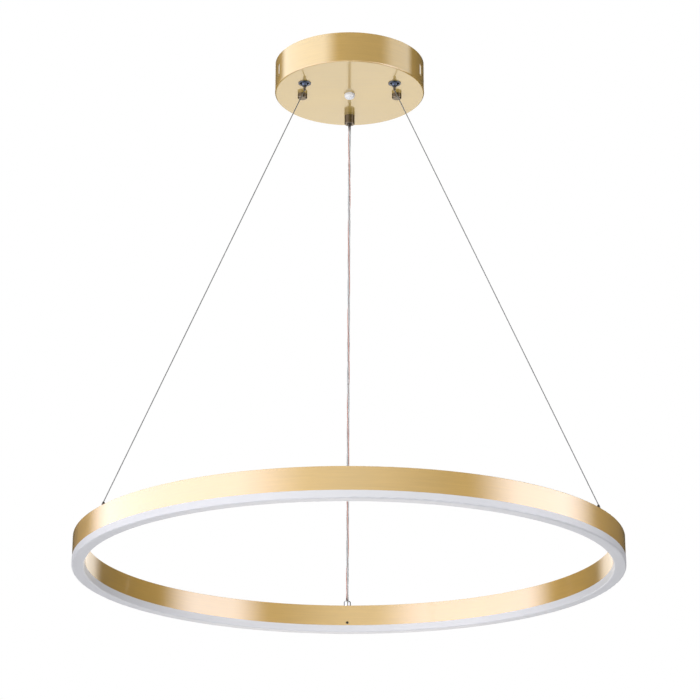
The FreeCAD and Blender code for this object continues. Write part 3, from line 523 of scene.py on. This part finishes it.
def stripedInsulation(name):
    # earth lead: green PVC with yellow stripes pressed in as it is extruded
    material, tree, shader, place = startMaterial(name, "#2f8f2b", {"Roughness": 0.38, "IOR": 1.53})
    waves = addNode(tree, "ShaderNodeTexWave", {
        "Vector": place, "Scale": scaleOf(7), "Distortion": 1.0, "Detail": 1.0},
        bands_direction="X").outputs["Fac"]
    stripe = addNode(tree, "ShaderNodeMath", {0: waves, 1: 0.55}, operation="GREATER_THAN").outputs[0]
    layFinish(tree, shader, place, {
        "Base Color": (stripe, "#2c8429", "#d9c52c"), "Roughness": ((2.5, 3.0), 0.32, 0.46)})
    return material


def clearPvc(name):
    # clear PVC, extruded: bright edges, and the cores enlarged behind it
    return grainedMaterial(name, "#f4f6f6", {"Roughness": 0.06, "IOR": 1.53, "Transmission Weight": 1.0}, {
        "Base Color": ((3, 2.0), "#eef1f2", "#fafbfb"), "Roughness": ((3, 2.0), 0.03, 0.09)})


def milkyPolythene(name):
    # moulded low-density polythene: waxy, lets some light through and blurs it
    return grainedMaterial(name, "#e9ecf4", {
        "Roughness": 0.5, "IOR": 1.51, "Transmission Weight": 0.05, "Subsurface Weight": 0.4,
        "Subsurface Radius": (0.004, 0.004, 0.004), "Subsurface Scale": 1.0}, {
        "Base Color": ((1.2, 3.0), "#e6e9f1", "#eceff6"), "Roughness": ((1.2, 3.0), 0.44, 0.56),
        "Normal": ((1.2, 3.0), 0.004, 0.1)})


def opalAcrylic(name):
    # extruded opal acrylic, satin outside: an even cool white whose edges glow a little
    return grainedMaterial(name, "#cacbd1", {
        "Roughness": 0.42, "IOR": 1.49, "Subsurface Weight": 0.25,
        "Subsurface Radius": (0.003, 0.003, 0.003), "Subsurface Scale": 1.0}, {
        "Base Color": ((30, 2.0), "#c7c8ce", "#cdced4"), "Roughness": ((0.8, 3.0), 0.36, 0.48),
        "Normal": ((0.9, 3.0), 0.004, 0.3)})


def solderMask(name, colour, shade, track):
    # glass-fibre or aluminium board under solder resist: tracks 6 mm apart show as slightly darker bands
    material, tree, shader, place = startMaterial(name, colour, {"Roughness": 0.3, "IOR": 1.5})
    bands = addNode(tree, "ShaderNodeTexBrick", {
        "Vector": place, "Color1": toLinear(colour), "Color2": toLinear(shade), "Mortar": toLinear(track),
        "Scale": scaleOf(6), "Mortar Size": 0.04}).outputs["Color"]
    tree.links.new(bands, shader.inputs["Base Color"])
    layFinish(tree, shader, place, {
        "Roughness": ((0.8, 3.0), 0.24, 0.38), "Normal": ((0.5, 3.0), 0.006, 0.3)})
    return material


# the colour, then its duller or darker shade
goldSteel = lacqueredGold("LacqueredGoldSteel", levelFaces=True)
goldAluminium = lacqueredGold("LacqueredGoldAluminium", levelFaces=False)
zincSteel = zincPlate("ZincPlatedSteel")
# the chrome's dark bluish colour is a painted reflection of a dark room, laid over the plate's own grey
chromeDarkReflection = platedMetal("ChromePlatePaintedDarkReflection", "#4c5566", "#424a5b", 0.05)  # mirrors the dark room bluish
# the nickel's dark brownish colour is a painted reflection of the gold, laid over the plate's own grey
nickelGoldReflection = platedMetal("NickelPlatePaintedGoldReflection", "#6a6256", "#5d554a", 0.06)  # mirrors the gold brownish
brightNickel = platedMetal("BrightNickelPlate", "#b4b7bc", "#a6a9ae", 0.10)
nickel = platedMetal("PolishedNickelPlate", "#6e6a64", "#625e58", 0.10)
blackNickel = platedMetal("BlackNickelPlate", "#4a4743", "#3a3734", 0.2)
ballSteel = platedMetal("GroundBallSteel", "#b4b5b8", "#a8a9ad", 0.08)
blackScrew = platedMetal("BlackenedScrewSteel", "#2c2926", "#211f1d", 0.35, 0.8)
brass = platedMetal("TurnedBrass", "#c9a55c", "#b8924b", 0.25, 0.8)
springSteel = drawnWire("DrawnSpringSteel", "#8d8e92", "#77787c", 0.3)
ropeSteel = drawnWire("DrawnRopeSteel", "#8c8e92", "#77797d", 0.38)
crimpAluminium = drawnWire("PressedAluminium", "#c3c4c6", "#b2b3b6", 0.38)
copper = drawnWire("BareCopperWire", "#f0b3a4", "#e6a090", 0.35)
tinned = drawnWire("TinnedCopperWire", "#e6e9eb", "#d9dcdf", 0.35)
strainSteel = drawnWire("GalvanisedStrainWire", "#dcdfe0", "#ced1d3", 0.38)
polythene = milkyPolythene("MilkyPolythene")
pvc = clearPvc("ClearPvc")
acrylic = opalAcrylic("OpalAcrylic")
whiteBoard = solderMask("WhiteSolderMask", "#eeeeea", "#e6e6e1", "#d9d9d2")
greenBoard = solderMask("GreenSolderMask", "#1d5a2f", "#184c28", "#2b6e3d")
phosphor = mouldedPlastic("YellowPhosphorResin", "#f0da72", "#e8cd5c", 0.2, 0.2, 0.004)
rubber = mouldedPlastic("GreyGlandRubber", "#8c8c8a", "#7f7f7d", 0.75, 0.4)
whiteCase = mouldedPlastic("WhitePolycarbonate", "#e8e8e4", "#dfdfda", 0.45, 0.6, 0.02)
blackEpoxy = mouldedPlastic("BlackEpoxyCase", "#1d1d20", "#161618", 0.5, 0.4)
foam = mouldedPlastic("ClosedCellFoam", "#dededa", "#cfcfca", 0.9, 0.5, 0.08)
nylon = mouldedPlastic("IvoryNylon", "#e2dcc6", "#d8d1b8", 0.42, 0.5)
brownPvc = extrudedInsulation("BrownPvc", "#5a3320", "#4c2a19")
bluePvc = extrudedInsulation("BluePvc", "#1f4f9e", "#1a438a")
whitePvc = extrudedInsulation("WhitePvc", "#e6e6e1", "#dadad4")
earthPvc = stripedInsulation("GreenYellowPvc")
print("materials mixed")


# matt painted studio floor far below: plain, with the faintest roller texture
floorSize = {"half": 20.0, "level": -4.2, "roller": 400}  # metres, and mm drawn coarser to show from afar
paint, tree, shader, place = startMaterial("PaleStudioFloor", "#e9e9e7", {"Roughness": 0.8, "IOR": 1.5})
layFinish(tree, shader, place, {"Base Color": ((floorSize["roller"], 4.0), "#e6e6e4", "#ededeb")})
shape = bmesh.new()
bmesh.ops.create_grid(shape, x_segments=2, y_segments=2, size=floorSize["half"],
                      matrix=Matrix.Translation((0, 0, floorSize["level"])))
floor = addStageMesh("Floor", shape, paint)
floor.visible_glossy = False  # the part reflects the studio, not the far floor
print("floor painted")


def dress(material, *nodes):  # a carried-over CAD node keeps its shape and takes the material
    for name in nodes:
        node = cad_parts[name]
        if not node.material_slots:
            node.data.materials.append(material)
        for slot in node.material_slots:
            slot.link = "OBJECT"
            slot.material = material


dress(goldSteel, "canopy_cup")
dress(goldAluminium, "ring_channel")
dress(zincSteel, "mounting_bracket", "bracket_studs", "stud_nuts", "front_grip_nuts", "back_grip_nut",
      "anchor_nuts", "gland_nut", "board_screws", "earth_tag", "board_links")
dress(chromeDarkReflection, "left_grip_body", "right_grip_body", "front_grip_caps")
dress(nickelGoldReflection, "cap_nuts", "back_grip_body", "back_grip_cap")
dress(brightNickel, "ring_gland")
dress(nickel, "left_release", "right_release", "back_release")
dress(ballSteel, "left_grip_balls", "right_grip_balls", "back_grip_balls")
dress(blackNickel, "wire_anchors")
dress(crimpAluminium, "stop_ferrules", "wire_ends")
dress(polythene, "centre_plug")
dress(acrylic, "diffuser")
dress(blackScrew, "diffuser_screws")
dress(whiteBoard, "led_boards")
dress(phosphor, "led_chips")
dress(rubber, "gland_bush")
dress(pvc, "cable_ring_end")
dress(whiteCase, "driver_base", "driver_cover")
dress(greenBoard, "driver_board")
dress(blackEpoxy, "driver_components")
dress(foam, "driver_pad")
dress(nylon, "terminal_block")
dress(brass, "terminal_screws", "earth_screw")
dress(brownPvc, "line_lead")
dress(bluePvc, "neutral_lead")
dress(earthPvc, "earth_lead")
dress(whitePvc, "output_leads", "ring_leads")
coreMetals = {"copper": copper, "tinned": tinned, "steel": strainSteel}
leftRope.data.materials.append(ropeSteel)
rightRope.data.materials.append(ropeSteel)
sheath.data.materials.append(pvc)
for kind, piece in cores.items():
    piece.data.materials.append(coreMetals[kind])
print("CAD nodes dressed")


# tails of the wires and of the cable, upright inside the canopy as high as the CAD's

def upright(foot, node):
    return np.array([foot, (foot[0], foot[1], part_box(node)[1][2])])


wireTails = joinMeshes("WireTails", wireShapes(upright(wire["leftRoute"][0], "wire_tails"))
                       + wireShapes(upright(wire["rightRoute"][0], "wire_tails")), ropeSteel)
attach(wireTails, "canopy")
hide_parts("wire_tails")
tailLine = upright(cable["route"][0], "cable_tail")
tailSheath = joinMeshes("TailSheath", sheathShapes(tailLine, cable["tailSteps"]), pvc)
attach(tailSheath, "canopy")
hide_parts("cable_tail")
for kind, core in cable["cores"].items():
    tailCore = joinMeshes("Tail" + kind.capitalize(), coreShapes(tailLine, core, cable["tailCoreSteps"]),
                          coreMetals[kind])
    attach(tailCore, "canopy")
print("tails made")


# springs of the grips, as tall as the CAD's sleeves

spring = {  # metres; keep is the share of its height left when its nozzle is pushed in
    "front": {"coil": 0.00225, "wire": 0.00028, "turns": 4.5, "keep": 0.6},
    "back": {"coil": 0.00325, "wire": 0.00035, "turns": 6.5, "keep": 0.8730},
    "perTurn": 40, "sides": 10,
}


def makeSpring(name, grip, size, node):  # grip: a point on the grip's axis
    low, high = (corner[2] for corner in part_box(node))
    angle = np.linspace(0, 2 * math.pi * size["turns"], int(size["turns"] * spring["perTurn"]))
    rise = np.clip((angle - math.pi) / (angle[-1] - 2 * math.pi), 0, 1)  # its end turns lie flat
    line = np.stack([grip[0] + size["coil"] * np.cos(angle), grip[1] + size["coil"] * np.sin(angle),
                     low + size["wire"] + (high - low - 2 * size["wire"]) * rise], axis=1)
    piece = joinMeshes(name, [tubeMesh(line, size["wire"], spring["sides"])], springSteel)
    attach(piece, "canopy")
    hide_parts(node)
    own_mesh(piece)


makeSpring("LeftSpring", wire["leftRoute"][0], spring["front"], "left_grip_spring")
makeSpring("RightSpring", wire["rightRoute"][0], spring["front"], "right_grip_spring")
makeSpring("BackSpring", cable["route"][0], spring["back"], "back_grip_spring")
print("springs wound")
